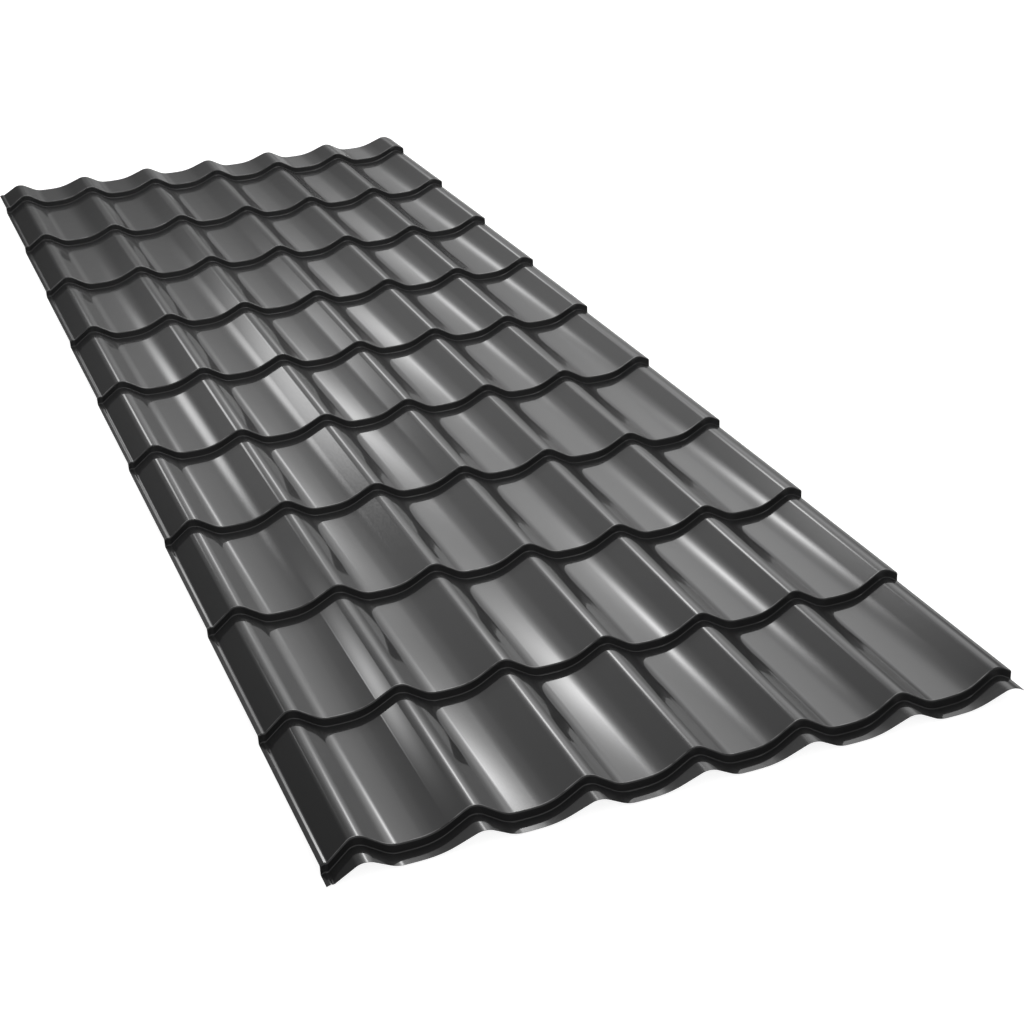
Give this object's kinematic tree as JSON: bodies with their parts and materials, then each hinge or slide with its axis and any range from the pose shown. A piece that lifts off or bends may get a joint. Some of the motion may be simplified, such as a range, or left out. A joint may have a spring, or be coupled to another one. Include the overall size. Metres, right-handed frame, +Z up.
{
  "type": "metal roof tile sheet",
  "caption": "Thin coated steel roofing sheet with rounded waves across its width and pressed tile steps along its length, lapping at both sides.",
  "frame": {"origin": "middle of the sheet's footprint, on the floor that it lies on", "axes": "+X across the waves, from the flap to the open lap; +Y up the roof, from the eaves edge to the head edge; +Z up, out of the weather side"},
  "size_m": [1.1836, 3.3156, 0.0398],
  "materials": {
    "coated_steel": "gloss"
  },
  "bodies": {
    "root": {"tile_sheet": "coated_steel"}
  },
  "joints": []
}
